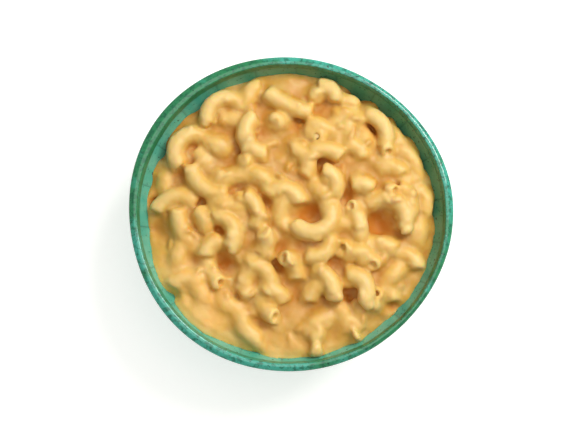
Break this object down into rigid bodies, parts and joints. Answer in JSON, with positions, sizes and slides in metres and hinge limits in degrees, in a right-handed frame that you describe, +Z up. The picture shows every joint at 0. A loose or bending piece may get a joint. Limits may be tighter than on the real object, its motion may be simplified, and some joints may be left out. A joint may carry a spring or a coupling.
{
  "type": "bowl of mac and cheese",
  "caption": "Elbow macaroni heaped in thick cheese sauce, filling an uneven round glazed stoneware bowl with a foot ring.",
  "frame": {"origin": "middle of the bowl's footprint box, on the surface that the foot ring stands on", "axes": "+Z up out of the bowl's mouth; +Y towards the back, where the heap is highest against the rim; +X right"},
  "size_m": [0.1636, 0.1589, 0.0658],
  "materials": {
    "teal_glaze": "glossy mottled teal-green glaze over stoneware",
    "cheese_sauce": "smooth wet cheese sauce over pasta"
  },
  "bodies": {
    "root": {"bowl": "teal_glaze", "macaroni_in_sauce": "cheese_sauce"}
  },
  "joints": []
}
